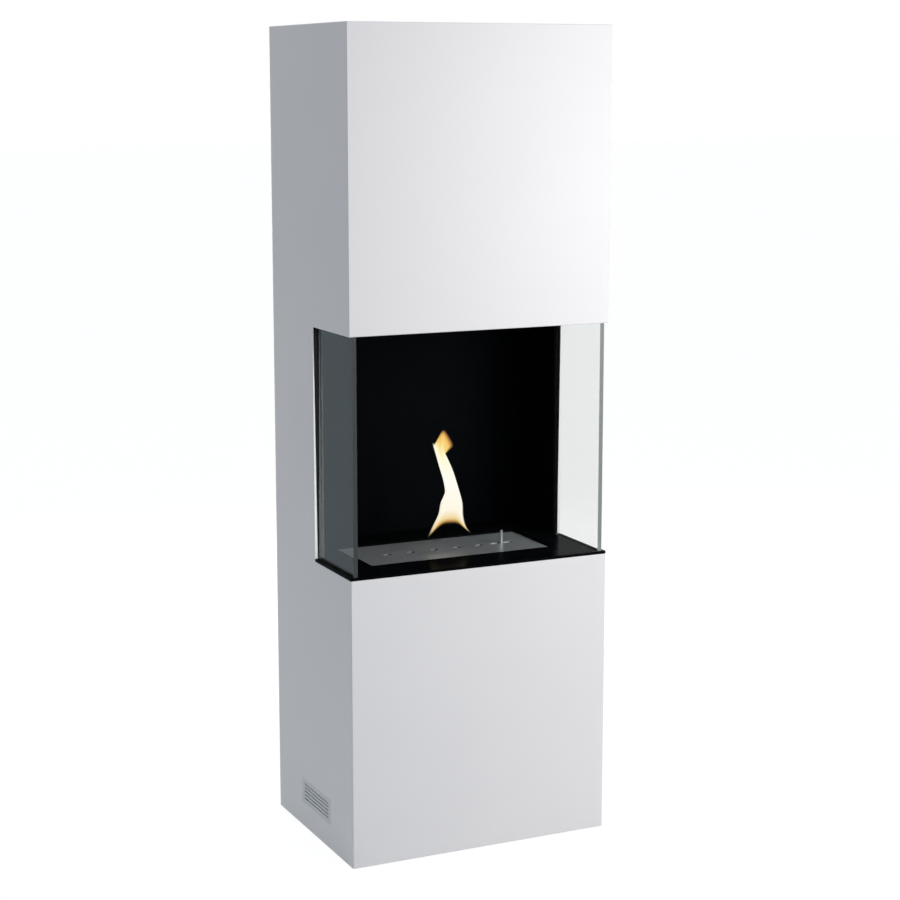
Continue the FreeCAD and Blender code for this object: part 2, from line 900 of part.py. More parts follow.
# Shutter: ports that match the flame slots and a hole for the pin's neck
def shutter_plate():
    half = s.shutter_length / 2
    half_width = s.shutter_width / 2
    plan = rectangle(-half, half, burner_y - half_width, burner_y + half_width)
    shutter = prism("shutter_plate", "XY", shutter_under, shutter_top, plan)
    first_port = slot(-control_x, burner_y, s.slot_length, s.slot_width)
    port = cut(shutter, "XY", shutter_under, shutter_top, first_port)
    repeat(shutter, port, "X", s.slot_pitch, FLAME_SLOTS)
    cut(shutter, "XY", shutter_under, shutter_top, circle(control_x, burner_y, s.pin_neck))


shutter_plate()


# Pin: turned, with a neck riveted through the shutter
def regulator_pin():
    pin = new_body("regulator_pin")
    neck_foot = shutter_under - s.burner_sheet
    pin_top = plate_top + s.pin_height
    profile = polygon(
        (0, neck_foot),
        (s.pin_radius, neck_foot),
        (s.pin_radius, shutter_under),
        (s.pin_neck, shutter_under),
        (s.pin_neck, shutter_top),
        (s.pin_radius, shutter_top),
        (s.pin_radius, pin_top - s.pin_bevel),
        (s.pin_radius - s.pin_bevel, pin_top),
        (0, pin_top),
    )
    sketch = new_sketch(pin, "XZ", 0, [profile])
    turned = pin.newObject("PartDesign::Revolution", "regulator_pin_turned")
    turned.Profile = sketch
    turned.ReferenceAxis = (sketch, ["V_Axis"])
    turned.Angle = 360
    move(pin, control_x, burner_y, 0)


regulator_pin()


# Check every feature and write one file per node
doc.recompute()
for item in doc.Objects:
    if "Invalid" in item.State or "Error" in item.State:
        raise RuntimeError(f"{item.Label} did not build: {item.State}")
for pocket in cuts:
    before = pocket.BaseFeature.Shape.Volume
    if before - pocket.Shape.Volume < 0.5:
        raise RuntimeError(f"{pocket.Label} cuts nothing")
os.makedirs("parts", exist_ok=True)
for node in nodes:
    shape = node.Shape
    if shape.isNull() or not shape.isValid() or shape.Volume <= 0:
        raise RuntimeError(f"{node.Label} has no sound shape")
    shape.exportStep(f"parts/{node.Label}.step")
    print(node.Label, len(shape.Solids), round(shape.Volume / 1000, 1))
print(len(nodes), "nodes")
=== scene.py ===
# %% [markdown]
# # A bioethanol fireplace, dressed for a studio picture
#
# The object is a white column with a black firebox cut into it. The firebox is open at the front, has a
# glass pane at each side and a steel burner in its floor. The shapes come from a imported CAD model, so
# this lesson is about finishes, a flame, light and a camera.
#
# The first cell loads the CAD model. Its objects are in metres, in one shared frame: X runs to the right
# along the front, Y to the rear and Z up from the floor. They are never moved, only painted.

# %% Load the CAD model
import math

import bmesh
import bpy
import numpy as np
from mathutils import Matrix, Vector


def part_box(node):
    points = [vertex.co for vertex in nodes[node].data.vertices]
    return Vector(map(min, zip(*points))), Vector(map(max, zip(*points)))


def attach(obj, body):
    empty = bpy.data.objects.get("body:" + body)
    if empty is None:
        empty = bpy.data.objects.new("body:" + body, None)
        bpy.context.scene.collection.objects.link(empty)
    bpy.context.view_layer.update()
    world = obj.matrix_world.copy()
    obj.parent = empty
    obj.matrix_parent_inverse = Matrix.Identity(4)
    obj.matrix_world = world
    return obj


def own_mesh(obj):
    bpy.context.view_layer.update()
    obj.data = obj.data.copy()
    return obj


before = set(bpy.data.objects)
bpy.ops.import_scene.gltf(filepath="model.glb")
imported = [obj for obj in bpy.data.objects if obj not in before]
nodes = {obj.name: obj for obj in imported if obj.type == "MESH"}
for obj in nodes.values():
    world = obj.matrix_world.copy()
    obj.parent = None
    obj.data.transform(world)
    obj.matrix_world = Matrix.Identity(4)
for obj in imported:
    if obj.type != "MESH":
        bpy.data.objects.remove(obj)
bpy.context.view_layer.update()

# %% [markdown]
# ## Helpers for materials
#
# Colours are easiest to think of as the hex codes that a paint card or a picture editor gives. The render
# works in linear light, so one function converts them, and takes a share of them where a darker or paler
# shade is needed. A second one adds a node, sets its properties, fills its sockets with plain values or
# with links from other nodes, and fills its colour ramp where it has one. Every material below uses these.
#
# A noise seldom leaves the middle of its range, so a gloss that follows a noise is spread over that
# middle, from NOISE_LOW to NOISE_HIGH. MAP_RANGE names the sockets that spread it.

# %% Helpers for colours and nodes
MM = 0.001
NOISE_LOW, NOISE_HIGH = 0.3, 0.7
MAP_RANGE = ("Value", "From Min", "From Max", "To Min", "To Max")


def linear(code, share=1.0):
    """sRGB hex to linear RGBA: c / 12.92 below 0.04045, else ((c + 0.055) / 1.055) ** 2.4, times share."""
    srgb = np.array([int(code[i : i + 2], 16) for i in (1, 3, 5)]) / 255
    rgb = np.where(srgb <= 0.04045, srgb / 12.92, ((srgb + 0.055) / 1.055) ** 2.4) * share
    return (*rgb.tolist(), 1.0)


def add_node(tree, kind, sockets=None, ramp=(), **settings):
    """Add a node, set its properties, fill its sockets by value or by link, and fill its colour ramp."""
    made = tree.nodes.new(kind)
    for name, value in settings.items():
        setattr(made, name, value)
    for name, value in (sockets or {}).items():
        if isinstance(value, bpy.types.NodeSocket):
            tree.links.new(value, made.inputs[name])
        else:
            made.inputs[name].default_value = value
    if ramp:
        stops = made.color_ramp.elements
        for place, _ in ramp[1:-1]:
            stops.new(place)
        for stop, (place, colour) in zip(stops, ramp):
            stop.position = place
            stop.color = colour
    return made


def new_material(name):
    """A node material with nothing in its tree yet."""
    material = bpy.data.materials.new(name)
    material.use_nodes = True
    material.node_tree.nodes.clear()
    return material, material.node_tree


def per_metre(size_mm):
    """Noise scale whose features are about size_mm across: at a scale of 1 a feature is a metre wide."""
    return 1 / (size_mm * MM)


print("white as linear light:", [round(v, 3) for v in linear("#f1f1f1")[:3]])

# %% [markdown]
# ## White lacquer
#
# The casing is MDF board sprayed with white satin lacquer. Sprayed lacquer isn't perfectly flat: it dries
# with a very fine orange peel, a couple of millimetres from hump to hump, and the sanding below it
# leaves slow changes in gloss. Both are done with noise on Object coordinates, so the pattern sits still
# on each board whichever way it is seen. The grilles are steel with a white stove enamel, which dries in
# the same way with a finer peel.


# %% Sprayed satin lacquer and enamel
def satin_lacquer(name, code, rough, peel_mm, depth_mm=0.04, cloud_mm=180, dark=0.985, swing=0.03):
    """Sprayed lacquer: pale base, slow gloss changes and a fine orange peel in the bump."""
    material, tree = new_material(name)
    where = add_node(tree, "ShaderNodeTexCoord").outputs["Object"]
    slow = {"Vector": where, "Scale": per_metre(cloud_mm), "Detail": 2.0}
    cloud = add_node(tree, "ShaderNodeTexNoise", slow).outputs["Fac"]
    shades = [(NOISE_LOW, linear(code, dark)), (NOISE_HIGH, linear(code))]
    tint = add_node(tree, "ShaderNodeValToRGB", {"Fac": cloud}, ramp=shades)
    spread = (cloud, NOISE_LOW, NOISE_HIGH, rough - swing, rough + swing)
    shine = add_node(tree, "ShaderNodeMapRange", dict(zip(MAP_RANGE, spread)))
    fine = {"Vector": where, "Scale": per_metre(peel_mm), "Detail": 1.0}
    peel = add_node(tree, "ShaderNodeTexNoise", fine)
    bump = add_node(
        tree,
        "ShaderNodeBump",
        {"Height": peel.outputs["Fac"], "Strength": 0.12, "Distance": depth_mm * MM},
    )
    shader = add_node(
        tree,
        "ShaderNodeBsdfPrincipled",
        {
            "Base Color": tint.outputs["Color"],
            "Roughness": shine.outputs["Result"],
            "Normal": bump.outputs["Normal"],
            "IOR": 1.5,
        },
    )
    add_node(tree, "ShaderNodeOutputMaterial", {"Surface": shader.outputs["BSDF"]})
    return material


white_lacquer = satin_lacquer("satin_lacquer_on_mdf", "#f1f1f1", rough=0.38, peel_mm=2.5)
white_enamel = satin_lacquer("stove_enamelled_steel", "#e0e3e5", rough=0.42, peel_mm=1.2)
print("made", white_lacquer.name, "and", white_enamel.name)

# %% [markdown]
# ## Black steel
#
# The firebox is lined with sheet steel in heat-resistant black paint. It is close to matt, with a fine
# grit that comes from the spray, and it swallows nearly all the light. The hearth plate in front carries
# a smoother coat of the same black, which faintly mirrors the flame and the bright side of the room.


# %% Heat-resistant black coat
def black_coat(name, code, rough, level, grit_mm, depth_mm, dust_mm=120, dark=0.8, pale=1.2, swing=0.05):
    """Sprayed black paint: a fine grit in the bump, slow changes in shade and gloss, and a weak mirror."""
    material, tree = new_material(name)
    where = add_node(tree, "ShaderNodeTexCoord").outputs["Object"]
    fine = {"Vector": where, "Scale": per_metre(grit_mm), "Detail": 3.0}
    grit = add_node(tree, "ShaderNodeTexNoise", fine)
    slow = {"Vector": where, "Scale": per_metre(dust_mm), "Detail": 4.0}
    dust = add_node(tree, "ShaderNodeTexNoise", slow).outputs["Fac"]
    spread = (dust, NOISE_LOW, NOISE_HIGH, rough - swing, rough + swing)
    shine = add_node(tree, "ShaderNodeMapRange", dict(zip(MAP_RANGE, spread)))
    shades = [(0.0, linear(code, dark)), (1.0, linear(code, pale))]
    tint = add_node(tree, "ShaderNodeValToRGB", {"Fac": dust}, ramp=shades)
    bump = add_node(
        tree,
        "ShaderNodeBump",
        {"Height": grit.outputs["Fac"], "Strength": 0.2, "Distance": depth_mm * MM},
    )
    shader = add_node(
        tree,
        "ShaderNodeBsdfPrincipled",
        {
            "Base Color": tint.outputs["Color"],
            "Roughness": shine.outputs["Result"],
            "Normal": bump.outputs["Normal"],
            "Specular IOR Level": level,
        },
    )
    add_node(tree, "ShaderNodeOutputMaterial", {"Surface": shader.outputs["BSDF"]})
    return material


black_liner = black_coat(
    "heat_resistant_black_paint", "#06080b", rough=0.5, level=0.01, grit_mm=1.5, depth_mm=0.05
)
black_hearth = black_coat(
    "satin_black_enamel", "#0a0c0e", rough=0.22, level=0.004, grit_mm=2.0, depth_mm=0.02
)
print("made", black_liner.name, "and", black_hearth.name)

# %% [markdown]
# ## Burner steel
#
# The burner is folded from stainless sheet. Its top is brushed lengthways: thousands of fine scratches
# along X that stretch each reflection across the grain. The shader's anisotropy gives that stretch, with
# its tangent along Y and tipped a little up, so that upright walls have one too. A noise that is squeezed
# hard along Y and Z gives the scratches. Real ones are a tenth of a millimetre apart, which is too fine to
# show here, so they are drawn at about one millimetre. Heat leaves slow, slightly warmer stains. The walls
# of the slots were cut by laser and have dulled: where the normal is level, the steel is darker.
#
# The pin is turned and polished, and the screws and inserts are zinc plated. They have no brushing, so
# their scratches are short and nothing pulls their highlights.

# %% Brushed, polished and plated steel
HEAT_STAIN = (0.93, 0.92, 0.9)
AXIS_LIMIT = 0.5


def brushed_steel(name, code, rough, grain_mm, stretch, depth_mm, pull, cut_code, stain_mm=60, swing=0.07):
    """Stainless sheet: metallic, scratches from noise stretched along X, highlights pulled along Y.

    cut_code multiplies the colour of the faces whose normal is level, which is where the normal's share
    along Z stays below AXIS_LIMIT.
    """
    material, tree = new_material(name)
    source = add_node(tree, "ShaderNodeTexCoord").outputs
    where = source["Object"]
    squeezed = add_node(tree, "ShaderNodeMapping", {"Vector": where, "Scale": (1 / stretch, 1, 1)})
    fine = {"Vector": squeezed.outputs["Vector"], "Scale": per_metre(grain_mm), "Detail": 4.0}
    scratch = add_node(tree, "ShaderNodeTexNoise", fine).outputs["Fac"]
    slow = {"Vector": where, "Scale": per_metre(stain_mm), "Detail": 2.0}
    stain = add_node(tree, "ShaderNodeTexNoise", slow)
    spread = (scratch, NOISE_LOW, NOISE_HIGH, rough - swing, rough + swing)
    shine = add_node(tree, "ShaderNodeMapRange", dict(zip(MAP_RANGE, spread)))
    shades = [(0.0, linear(code, HEAT_STAIN)), (1.0, linear(code))]
    tint = add_node(tree, "ShaderNodeValToRGB", {"Fac": stain.outputs["Fac"]}, ramp=shades)
    axes = add_node(tree, "ShaderNodeSeparateXYZ", {"Vector": source["Normal"]})
    upright = add_node(tree, "ShaderNodeMath", {0: axes.outputs["Z"]}, operation="ABSOLUTE")
    level = add_node(
        tree, "ShaderNodeMath", {0: upright.outputs[0], 1: AXIS_LIMIT}, operation="LESS_THAN"
    )
    # In colour mode sockets 0, 6 and 7 of a Mix node are its factor and its two colours, and output 2 is
    # its result.
    colour = add_node(
        tree,
        "ShaderNodeMix",
        {0: level.outputs[0], 6: tint.outputs["Color"], 7: linear(cut_code)},
        data_type="RGBA",
        blend_type="MULTIPLY",
    )
    bump = add_node(
        tree, "ShaderNodeBump", {"Height": scratch, "Strength": 0.25, "Distance": depth_mm * MM}
    )
    across = add_node(tree, "ShaderNodeCombineXYZ", {"Y": 1.0, "Z": 0.3})
    shader = add_node(
        tree,
        "ShaderNodeBsdfPrincipled",
        {
            "Base Color": colour.outputs[2],
            "Metallic": 1.0,
            "Roughness": shine.outputs["Result"],
            "Anisotropic": pull,
            "Tangent": across.outputs["Vector"],
            "Normal": bump.outputs["Normal"],
        },
    )
    add_node(tree, "ShaderNodeOutputMaterial", {"Surface": shader.outputs["BSDF"]})
    return material


burner_steel = brushed_steel(
    "brushed_stainless_steel",
    "#b1b8bd",
    rough=0.4,
    grain_mm=1.0,
    stretch=40,
    depth_mm=0.03,
    pull=0.7,
    cut_code="#cfccc9",
)
pin_steel = brushed_steel(
    "polished_stainless_steel",
    "#bbbec0",
    rough=0.28,
    grain_mm=0.6,
    stretch=6,
    depth_mm=0.004,
    pull=0.0,
    cut_code="#ffffff",
)
zinc_steel = brushed_steel(
    "zinc_plated_steel",
    "#c6c7c2",
    rough=0.34,
    grain_mm=0.8,
    stretch=2,
    depth_mm=0.03,
    pull=0.0,
    cut_code="#ffffff",
)
print("made", burner_steel.name, pin_steel.name, zinc_steel.name)

# %% [markdown]
# ## Glass
#
# The side panes are 8 mm float glass. Face on it is clear, but its edges are ground flat, and there the
# iron in the glass shows as a pale grey-green. The normal tells the two apart: the big faces point along
# X and the ground edges don't. The edges also carry painted light and shade: the left pane's copy of the
# glass has darker edges, painted as shaded, and the right pane's copy paler ones, painted as lit. Lamps
# pass through the pane: for shadow rays alone the shader is a plain transparent one, so the pane doesn't
# throw the shadow of a solid block.


# %% Clear float glass with ground edges
def float_glass(name, edge_tint_and_painted_light, grind_mm=1.5, dark=0.85, pale=1.1, edge_clear=0.5):
    """Smooth glass on the faces that point along X, and a partly clear grey-green on the ground edges."""
    material, tree = new_material(name)
    source = add_node(tree, "ShaderNodeTexCoord").outputs
    glass = add_node(
        tree,
        "ShaderNodeBsdfPrincipled",
        {"Base Color": linear("#fdfffe"), "Roughness": 0.0, "IOR": 1.5, "Transmission Weight": 1.0},
    )
    axes = add_node(tree, "ShaderNodeSeparateXYZ", {"Vector": source["Normal"]})
    sideways = add_node(tree, "ShaderNodeMath", {0: axes.outputs["X"]}, operation="ABSOLUTE")
    edge = add_node(
        tree, "ShaderNodeMath", {0: sideways.outputs[0], 1: AXIS_LIMIT}, operation="LESS_THAN"
    )
    fine = {"Vector": source["Object"], "Scale": per_metre(grind_mm), "Detail": 3.0}
    grind = add_node(tree, "ShaderNodeTexNoise", fine)
    # The edge tint is the iron's grey-green with painted light and shade in it, set per pane.
    shades = [(0.0, linear(edge_tint_and_painted_light, dark)), (1.0, linear(edge_tint_and_painted_light, pale))]
    tint = add_node(tree, "ShaderNodeValToRGB", {"Fac": grind.outputs["Fac"]}, ramp=shades)
    ground = add_node(
        tree,
        "ShaderNodeBsdfPrincipled",
        {"Base Color": tint.outputs["Color"], "Roughness": 0.35, "IOR": 1.5},
    )
    through = add_node(tree, "ShaderNodeBsdfTransparent", {"Color": linear("#cfdad6")})
    clear = add_node(tree, "ShaderNodeBsdfTransparent", {"Color": linear("#f4faf7")})
    ray = add_node(tree, "ShaderNodeLightPath")
    rim = add_node(
        tree,
        "ShaderNodeMixShader",
        {0: edge_clear, 1: ground.outputs["BSDF"], 2: through.outputs["BSDF"]},
    )
    pane = add_node(
        tree,
        "ShaderNodeMixShader",
        {0: edge.outputs[0], 1: glass.outputs["BSDF"], 2: rim.outputs["Shader"]},
    )
    lit = add_node(
        tree,
        "ShaderNodeMixShader",
        {0: ray.outputs["Is Shadow Ray"], 1: pane.outputs["Shader"], 2: clear.outputs["BSDF"]},
    )
    add_node(tree, "ShaderNodeOutputMaterial", {"Surface": lit.outputs["Shader"]})
    return material


# Two copies of one glass: painted shade in the left pane's edges, painted light in the right pane's.
pane_with_painted_shade = float_glass("float_glass_with_painted_shade", "#565e5c")
pane_with_painted_light = float_glass("float_glass_with_painted_light", "#bcc8c4")
print("made", pane_with_painted_shade.name, "and", pane_with_painted_light.name)

# %% [markdown]
# ## Matt inner materials
#
# Through the slots of the burner shows a block of pale ceramic fibre that holds the fuel. Inside the
# casing are bare wood, a chalky heat board and a few parts of rubber, silicone and plastic. They share one
# recipe: a matt base whose colour and height follow a noise with grains of the material's own size.


# %% Matt materials
def matt_grain(name, dark, light, rough, grain_mm, depth_mm, stretch=(1, 1, 1), level=0.5):
    """Matt surface: colour between two shades and bump, both from one stretched noise."""
    material, tree = new_material(name)
    where = add_node(tree, "ShaderNodeTexCoord").outputs["Object"]
    squeezed = add_node(tree, "ShaderNodeMapping", {"Vector": where, "Scale": stretch}).outputs["Vector"]
    fine = {"Vector": squeezed, "Scale": per_metre(grain_mm), "Detail": 5.0, "Roughness": 0.6}
    grain = add_node(tree, "ShaderNodeTexNoise", fine).outputs["Fac"]
    shades = [(NOISE_LOW, linear(dark)), (NOISE_HIGH, linear(light))]
    tint = add_node(tree, "ShaderNodeValToRGB", {"Fac": grain}, ramp=shades)
    bump = add_node(
        tree, "ShaderNodeBump", {"Height": grain, "Strength": 0.6, "Distance": depth_mm * MM}
    )
    shader = add_node(
        tree,
        "ShaderNodeBsdfPrincipled",
        {
            "Base Color": tint.outputs["Color"],
            "Roughness": rough,
            "Specular IOR Level": level,
            "Normal": bump.outputs["Normal"],
        },
    )
    add_node(tree, "ShaderNodeOutputMaterial", {"Surface": shader.outputs["BSDF"]})
    return material


ceramic_fibre = matt_grain(
    "ceramic_fibre", "#84827d", "#a6a49e", rough=0.95, grain_mm=3, depth_mm=0.6, stretch=(0.4, 1, 1)
)
heat_board = matt_grain(
    "calcium_silicate_board", "#d8d3c6", "#ece8dd", rough=0.9, grain_mm=2, depth_mm=0.2
)
bare_beech = matt_grain(
    "planed_beech", "#b98e5f", "#d6b083", rough=0.6, grain_mm=4, depth_mm=0.1, stretch=(1, 1, 0.08)
)
pad_rubber = matt_grain(
    "black_rubber", "#060606", "#0c0c0c", rough=0.9, grain_mm=1, depth_mm=0.05, level=0.05
)
sealant = matt_grain(
    "black_silicone_sealant", "#0d0e0e", "#141515", rough=0.5, grain_mm=3, depth_mm=0.03, level=0.2
)
glide_plastic = matt_grain(
    "grey_polythene", "#4a4b4c", "#5a5b5c", rough=0.55, grain_mm=1, depth_mm=0.03
)
print("made the matt materials")

# %% [markdown]
# ## Painting the CAD nodes
#
# Each CAD node already has one material slot. Its place takes the finish made above, and the mesh stays
# as it is.

# %% Paint every node
FINISHES = {
    white_lacquer: [
        "left_side_panel",
        "right_side_panel",
        "lower_front_panel",
        "upper_front_panel",
        "base_panel",
        "hearth_shelf",
        "canopy_shelf",
        "top_panel",
        "back_panel",
    ],
    white_enamel: ["left_air_grille", "right_air_grille", "top_air_grille"],
    black_liner: [
        "firebox_back_plate",
        "left_liner_plate",
        "right_liner_plate",
        "firebox_ceiling_plate",
        "firebox_screws",
    ],
    black_hearth: ["hearth_plate"],
    burner_steel: ["burner_well", "burner_tank", "burner_top_plate", "shutter_rails", "shutter_plate"],
    pin_steel: ["regulator_pin"],
    zinc_steel: ["back_panel_screws", "wall_inserts"],
    pane_with_painted_shade: ["left_glass"],
    pane_with_painted_light: ["right_glass"],
    ceramic_fibre: ["absorber_block"],
    heat_board: ["ceiling_insulation"],
    bare_beech: ["left_rear_batten", "right_rear_batten", "front_corner_battens", "dowels"],
    pad_rubber: ["glass_setting_pads", "glass_rear_seals"],
    glide_plastic: ["floor_glides"],
}
for finish, names in FINISHES.items():
    for name in names:
        slots = nodes[name].data.materials
        slots.clear()
        slots.append(finish)
painted = sum(len(names) for names in FINISHES.values())
print("painted", painted, "of", len(nodes), "nodes")

# %% [markdown]
# ## Mesh helpers
#
# Two more helpers make the pieces that the CAD model leaves to this lesson. Both work on whole arrays:
# rings of points stacked into a tube, and a mesh from points and faces.

# %% Helpers for meshes
SAME_POINT = 1e-6


def mesh_piece(name, points, faces, material, uv=None):
    """A mesh object at the origin from whole arrays of points, faces and one UV pair per point."""
    mesh = bpy.data.meshes.new(name)
    mesh.from_pydata(points.tolist(), [], faces.tolist())
    if uv is not None:
        corner = np.empty(len(mesh.loops), np.int32)
        mesh.loops.foreach_get("vertex_index", corner)
        layer = mesh.uv_layers.new(name="flow")
        layer.data.foreach_set("uv", uv[corner].ravel().astype(np.float32))
    shape = bmesh.new()
    shape.from_mesh(mesh)
    bmesh.ops.remove_doubles(shape, verts=shape.verts, dist=SAME_POINT)
    bmesh.ops.recalc_face_normals(shape, faces=shape.faces)
    shape.to_mesh(mesh)
    shape.free()
    mesh.polygons.foreach_set("use_smooth", np.ones(len(mesh.polygons), bool))
    mesh.materials.append(material)
    piece = bpy.data.objects.new(name, mesh)
    bpy.context.scene.collection.objects.link(piece)
    return piece


def ring_faces(rows, count):
    """Quads of a tube of rows rings with count points each, closed round the ring."""
    row, column = np.meshgrid(np.arange(rows - 1), np.arange(count), indexing="ij")
    here = row * count + column
    beside = row * count + (column + 1) % count
    return np.stack([here, beside, beside + count, here + count], -1).reshape(-1, 4)


print("mesh helpers ready")

# %% [markdown]
# ## Sealant beads
#
# Each pane is sealed to the board behind it with a bead of black silicone in the outer corner. It is drawn
# by hand and smoothed with a finger, so its face is hollow, and it is fuller at the top than at the foot.
# A curve with a bevel would keep one width, so the hollow profile is carried up the corner as arrays.

# %% Beads of sealant
BEAD_LIFT = 0.05 * MM
BEAD_WIDTHS = (1.0 * MM, 5.2 * MM)
BEAD_DEPTHS = (3.0 * MM, 6.0 * MM)
BEAD_STEPS, BEAD_ROWS = 9, 12


def sealant_bead(name, pane, hand):
    """Hollow fillet carried up the corner between a pane and the board behind it.

    With s from 0 to a quarter turn the face runs from the pane to the board on a quarter ellipse:
    x = corner + hand * width(z) * (1 - cos s), y = corner - depth(z) * (1 - sin s). The corner closes it.
    Width and depth grow evenly from foot to top. The bead stands clear of glass and board by BEAD_LIFT.
    """
    low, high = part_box(pane)
    corner_x = (low.x if hand < 0 else high.x) + hand * BEAD_LIFT
    corner_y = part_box("glass_rear_seals")[1].y - BEAD_LIFT
    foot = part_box("hearth_plate")[1].z
    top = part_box("upper_front_panel")[0].z
    s = np.linspace(0, np.pi / 2, BEAD_STEPS)
    out = np.append(1 - np.cos(s), 0.0)
    ahead = np.append(1 - np.sin(s), 0.0)
    height = np.concatenate([[0.0], np.linspace(0, 1, BEAD_ROWS), [1.0]])
    swell = np.concatenate([[0.0], np.ones(BEAD_ROWS), [0.0]])
    width = swell * np.interp(height, (0, 1), BEAD_WIDTHS)
    depth = swell * np.interp(height, (0, 1), BEAD_DEPTHS)
    x = corner_x + hand * np.outer(width, out)
    y = corner_y - np.outer(depth, ahead)
    z = np.broadcast_to((foot + (top - foot) * height)[:, None], x.shape)
    points = np.stack([x, y, z], -1)
    return mesh_piece(name, points.reshape(-1, 3), ring_faces(len(height), len(out)), sealant)


for pane, hand in (("left_glass", -1), ("right_glass", 1)):
    bead = sealant_bead(pane + "_sealant", pane, hand)
    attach(bead, "casing")
    print(bead.name, "of", len(bead.data.polygons), "faces")

# %% [markdown]
# ## The flame
#
# A flame from a slot burner is a thin sheet of glowing gas: pale where it is hottest, golden where it
# tears and almost invisible at its foot. It could be a simulation, but one frozen moment is enough, so it
# is drawn as a sheet blended from four border curves. The lower border is the arch between two tails, the
# sides rise to a neck, and the upper border has a side horn and a torn tip. The sheet is then swollen to a
# lens, thickest along its middle.


# %% Border curves of the flame
def smooth_line(points, count):
    """Smooth cubic curve through the points: count samples, evenly spaced in the points' own order.

    Between points p1 and p2 with neighbours p0 and p3, and t from 0 to 1:
    0.5 * (2 p1 + (p2 - p0) t + (2 p0 - 5 p1 + 4 p2 - p3) t^2 + (3 p1 - p0 - 3 p2 + p3) t^3).
    """
    p = np.array(points, float)
    p = np.vstack([2 * p[0] - p[1], p, 2 * p[-1] - p[-2]])
    place = np.linspace(0, len(points) - 1, count)
    i = np.minimum(place.astype(int), len(points) - 2)
    t = (place - i)[:, None]
    p0, p1, p2, p3 = p[i], p[i + 1], p[i + 2], p[i + 3]
    square = 2 * p0 - 5 * p1 + 4 * p2 - p3
    cube = 3 * p1 - p0 - 3 * p2 + p3
    return 0.5 * (2 * p1 + (p2 - p0) * t + square * t**2 + cube * t**3)


# Millimetres: x along the burner, z above the burner's top plate.
ARCH = [(-38, 20), (-20, 35), (-5, 44), (12, 45), (28, 42), (41, 32), (56, 21)]
LEFT = [(-38, 20), (-27, 40), (-14, 62), (-9, 84), (-1, 98)]
LEFT += [(-3, 121), (-9, 146), (-17, 176), (-24, 199)]
RIGHT = [(56, 21), (44, 36), (38, 56), (36, 80), (28, 104)]
RIGHT += [(17, 130), (3, 156), (-3, 168), (9, 180), (24, 188)]
CREST = [(-24, 199), (-19, 197), (-13, 204), (-6, 216), (1, 222), (9, 214), (18, 200), (24, 188)]
print("flame borders:", len(ARCH), len(LEFT), len(RIGHT), len(CREST), "points")


# %% Flame surface
def bordered_sheet(lower, upper, left, right):
    """Sheet between four borders: blend of the two pairs of borders, less the blend of the four corners.

    S(u, v) = (1 - v) lower(u) + v upper(u) + (1 - u) left(v) + u right(v)
              - [(1 - u)(1 - v) P00 + u (1 - v) P10 + (1 - u) v P01 + u v P11].
    """
    u = np.linspace(0, 1, len(lower))[None, :, None]
    v = np.linspace(0, 1, len(left))[:, None, None]
    ruled = (1 - v) * lower[None] + v * upper[None] + (1 - u) * left[:, None] + u * right[:, None]
    low_corners = (1 - u) * lower[0] + u * lower[-1]
    high_corners = (1 - u) * upper[0] + u * upper[-1]
    return ruled - (1 - v) * low_corners - v * high_corners


plate_low, plate_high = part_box("burner_top_plate")
slot_line = float(plate_low.y + plate_high.y) / 2
plate_top = float(plate_high.z)
print("slots lie on y =", round(slot_line, 4), "under a plate top at z =", round(plate_top, 4))

# %% [markdown]
# The flame's colour follows its height: a dark amber foot, a white-hot body, then gold and a dusky orange
# where it tears. The horn at its left stays pale to its end, so the height is scaled down at that side,
# and a little is added at the tails, so that they stay pale too. The sheet fades at its rims, its foot and
# its tip. Its two UV values, u across and v along, carry all of this, so the colours stay on the flame
# from every side.

# %% Flame material
FLAME_SHADES = [
    (0.0, "#6a4522"),
    (0.04, "#c79a52"),
    (0.09, "#f2dca4"),
    (0.18, "#fff8e4"),
    (0.45, "#fffdf4"),
    (0.68, "#fffbdc"),
    (0.77, "#fdeeb0"),
    (0.84, "#fad883"),
    (0.91, "#f3c263"),
    (0.96, "#d2945a"),
    (1.0, "#9a5a42"),
]
# Smooth steps: what each follows, where it starts and ends, and its values there.
FLAME_STEPS = {
    "side": ("across", 0.06, 0.45, 0.7, 1.0),
    "tail_rim": ("middle", 0.0, 0.16, 0.07, 0.0),
    "tail_foot": ("along", 0.0, 0.5, 1.0, 0.0),
    "rim": ("middle", 0.0, 0.1, 0.0, 1.0),
    "foot": ("along", 0.0, 0.08, 0.0, 1.0),
    "crest": ("along", 0.95, 1.0, 1.0, 0.0),
    "tip": ("heat", 0.88, 1.0, 1.0, 0.0),
}


